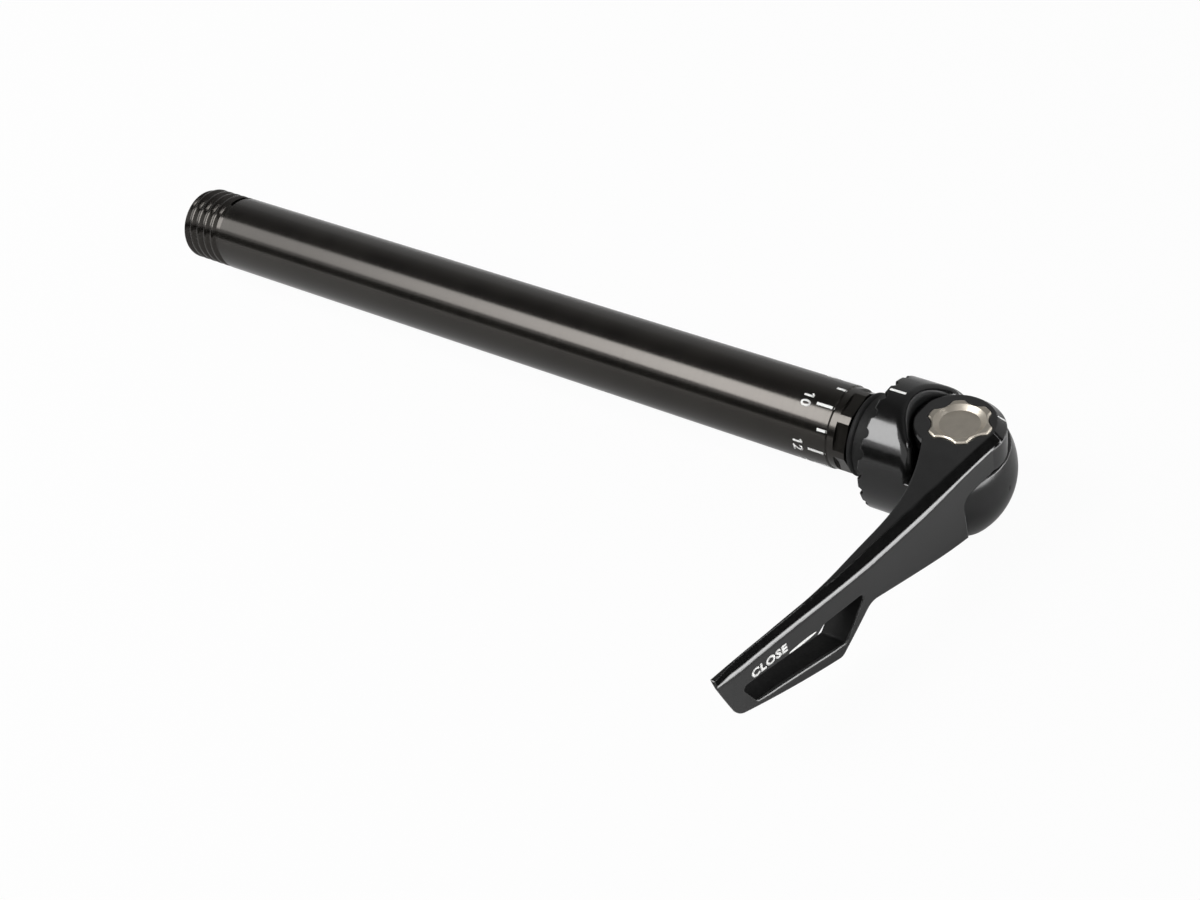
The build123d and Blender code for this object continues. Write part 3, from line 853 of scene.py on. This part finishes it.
# %% Buffed lever
lip_growth, lip_run = 0.4, 2
lip_face, lip_wall = Vector((0.978, -0.2, 0.07)), Vector((0, 0.141, 0.99))
lip_middle = (lip_face + lip_wall) / (1 + lip_face.dot(lip_wall))
for index in lip:
    corner = lever.data.vertices[index]
    along = -corner.co.y / MM
    share = ramp(along - lip_from, lip_run) * ramp(lip_to - along, lip_run)
    to_face, to_wall = (max(0, corner.normal.dot(side)) for side in (lip_face, lip_wall))
    own = (lip_face * to_face + lip_wall * to_wall).normalized()
    moves[index] = (own - lip_middle) * lip_growth * share * MM
for index, move in moves.items():
    lever.data.vertices[index].co += move
lever.data.normals_split_custom_set(shading)
dress(lever, lever_gloss, "lever")
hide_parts("lever")
print("lever: points moved:", len(moves))

# %% [markdown]
# The walls inside the window stay dull. They are faces near the window's middle that look towards
# it and lie nearly square to the broad face, and they take the second material by its index.

# %% Dull walls of the window
lever.data.materials.append(window_dull)
window_middle = Vector((pin_x, -57, 0.6)) * MM
window_half_length, window_half_height = 22, 5
wall_lean = 0.3
walls = 0
for face in lever.data.polygons:
    inwards = window_middle - face.center
    in_length = abs(inwards.y) < window_half_length * MM
    in_window = in_length and abs(inwards.z) < window_half_height * MM
    if in_window and abs(face.normal.x) < wall_lean and face.normal.dot(inwards) > 0:
        face.material_index = 1
        walls += 1
print("lever: dull faces in the window:", walls)

# %% [markdown]
# A thin black rubber sleeve lies on the spindle between the ring and the housing's mouth. It is
# painted shade: it darkens that gap, where the bare journal would catch the softbox. It is turned
# like the tube, and it stops short of the housing, which slides.

# %% Sleeve of painted shade in the gap
under_ring, mouth_gap = 0.3, 0.15
sleeve_bore, sleeve_r = 7.06, 7.2
sleeve_break, sleeve_break_length = 0.05, 0.1
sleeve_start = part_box("collar_seal")[1].x / MM - under_ring
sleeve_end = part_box("cam_housing")[0].x / MM - mouth_gap
# This black sleeve is painted shade: it darkens the gap between the ring and the housing.
shade_sleeve = turned(
    "shade_sleeve",
    (
        (sleeve_start, sleeve_bore),
        (sleeve_start, sleeve_r - sleeve_break),
        (sleeve_start + sleeve_break_length, sleeve_r),
        (sleeve_end - sleeve_break_length, sleeve_r),
        (sleeve_end, sleeve_r - sleeve_break),
        (sleeve_end, sleeve_bore),
    ),
)
dress(shade_sleeve, rubber, "spindle")
print("dust lip from", round(sleeve_start, 2), "to", round(sleeve_end, 2))

# %% [markdown]
# Printed marks could be painted in the material, but then their edges would be only as sharp as
# the bake. So they are thin pieces, made flat above the place where they belong: bars with cuts
# enough to bend, and letters turned into a mesh.


# %% Flat marks
letter_spacing, letter_curve_steps = 1.12, 6


def flat_bar(name, centre, size, turn=(0, 0, 0), cuts=6):
    """A flat rectangle in millimetres, with cuts enough to bend."""
    bar = flat_sheet(name, Vector(centre) * MM, turn, (size[0] * MM, size[1] * MM))
    bpy.ops.object.mode_set(mode="EDIT")
    bpy.ops.mesh.select_all(action="SELECT")
    bpy.ops.mesh.subdivide(number_cuts=cuts)
    bpy.ops.object.mode_set(mode="OBJECT")
    return bar


def flat_text(name, words, centre, size, turn, weight):
    """Letters as a flat mesh, fitted to a width and height, with added stroke weight."""
    bpy.ops.object.select_all(action="DESELECT")
    bpy.ops.object.text_add()
    text = bpy.context.object
    text.data.body = words
    text.data.size = size[1] * MM
    text.data.offset = weight * MM
    text.data.space_character = letter_spacing
    text.data.resolution_u = letter_curve_steps
    bpy.ops.object.convert(target="MESH")
    text = bpy.context.object
    text.name = name
    bpy.ops.object.origin_set(type="ORIGIN_GEOMETRY", center="BOUNDS")
    text.dimensions = (size[0] * MM, size[1] * MM, 0)
    text.location = Vector(centre) * MM
    text.rotation_euler = turn
    bpy.ops.object.transform_apply(location=True, rotation=True, scale=True)
    return text


# %% [markdown]
# A Shrinkwrap modifier lays a flat mark on the metal, as the pad does, and Solidify gives the film
# of ink its thickness.


# %% Laying a mark on
film_thickness = 0.03


def lay_on(mark, target, axis):
    """Wrap a flat mark on to a target, along a falling axis, as a thin film."""
    wrap = mark.modifiers.new("wrap", "SHRINKWRAP")
    wrap.target = target
    wrap.wrap_method = "PROJECT"
    wrap.use_project_x = axis == "X"
    wrap.use_project_z = axis == "Z"
    wrap.use_negative_direction = True
    wrap.use_positive_direction = False
    wrap.offset = film_thickness * MM
    bpy.ops.object.modifier_apply(modifier=wrap.name)
    film_wall = mark.modifiers.new("film", "SOLIDIFY")
    film_wall.thickness = film_thickness * MM
    film_wall.offset = -1
    bpy.ops.object.modifier_apply(modifier=film_wall.name)


# %% [markdown]
# Round the tube beside the collar runs a scale that shows where the closed lever will point:
# eleven ticks at even steps, with long ticks and numbers at the even positions. The numbers read
# round the tube, and a short bar gives the numeral 1 its flag, which the typeface lacks. Every
# mark is laid on the tube's top and then turned to its angle, so the ink follows the curve.


# %% Position scale
def print_on_tube(mark, angle):
    """Lay a mark on the top of the tube and carry it to its angle, towards the front."""
    lay_on(mark, axle_tube, "Z")
    mark.rotation_euler = (radians(angle), 0, 0)
    bpy.ops.object.transform_apply(location=True, rotation=True, scale=True)
    dress(mark, ink, "axle")


positions = range(2, 13)
step_angle = 360 / len(positions)
twelve_angle = 92.0
tick_gap, tick_width, long_tick, short_tick = 0.1, 0.5, 3.45, 1.9
tick_head_x = seat - tick_gap
digit_width, digit_height, digit_weight = 1.15, 1.95, 0.05
number_gap, round_tube = 2.0, (0, 0, -pi / 2)
one_flag_lift, one_flag_out = 0.70, 0.12
one_flag_size, one_flag_turn = (0.6, 0.26), (0, 0, radians(138))
print_height = 1
above = tube_r + print_height
for number in positions:
    numbered = number % 2 == 0
    length = long_tick if numbered else short_tick
    angle = twelve_angle - (positions[-1] - number) * step_angle
    tick_place = (tick_head_x - length / 2, 0, above)
    tick = flat_bar(f"scale_tick_{number}", tick_place, (length, tick_width))
    print_on_tube(tick, angle)
    if not numbered:
        continue
    digits = str(number)
    label_x = tick_head_x - length - number_gap
    label_size = (digit_width * len(digits), digit_height)
    label = flat_text(
        f"scale_number_{number}", digits, (label_x, 0, above), label_size, round_tube, digit_weight
    )
    print_on_tube(label, angle)
    if digits[0] == "1":
        one_flag_place = (label_x + one_flag_lift, label_size[0] / 2 + one_flag_out, above)
        one_flag = flat_bar(f"scale_flag_{number}", one_flag_place, one_flag_size, one_flag_turn)
        print_on_tube(one_flag, angle)
print("scale: ticks", len(positions), "step", round(step_angle, 2), "degrees")

# %% [markdown]
# One index mark on the housing is read against the scale. It is a bar like the ticks, laid on the
# housing's top.

# %% Index mark
housing_low, housing_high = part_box("cam_housing")
housing_r = housing_high.z / MM
index_length, index_gap = 3.0, 0.55
index_x = housing_low.x / MM + index_gap + index_length / 2
index_place = (index_x, 0, housing_r + print_height)
index_mark = flat_bar("index_mark", index_place, (index_length, tick_width))
lay_on(index_mark, nodes["cam_housing"], "Z")
dress(index_mark, ink, "housing")
print("index mark at x", round(index_x, 2))

# %% [markdown]
# The lever's broad face says which way it closes. The word stands upright on the face, and a thin
# tapered stroke runs on from it towards the head. A circle drawn out long gives the stroke its
# two fine points.

# %% Word and stroke on the lever
beyond_face = 12.0
upright = (pi / 2, 0, pi / 2)
word_place = (pin_x + beyond_face, -56.25, 4.46)
word_size, word_weight = (7.5, 1.62), 0.075
word = flat_text("closing_word", "CLOSE", word_place, word_size, upright, word_weight)
lay_on(word, lever, "X")
dress(word, ink, "lever")

stroke_place = Vector((pin_x + beyond_face, -49.5, 2.95)) * MM
stroke_half_length, stroke_half_width = 2.9, 0.26
bpy.ops.object.select_all(action="DESELECT")
bpy.ops.mesh.primitive_circle_add(
    vertices=48, radius=1, fill_type="TRIFAN", location=stroke_place, rotation=upright
)
stroke = bpy.context.object
stroke.name = "closing_stroke"
stroke.scale = (stroke_half_length * MM, stroke_half_width * MM, 1)
bpy.ops.object.transform_apply(location=True, rotation=True, scale=True)
lay_on(stroke, lever, "X")
dress(stroke, ink, "lever")
print("marks on the lever:", word.name, stroke.name)
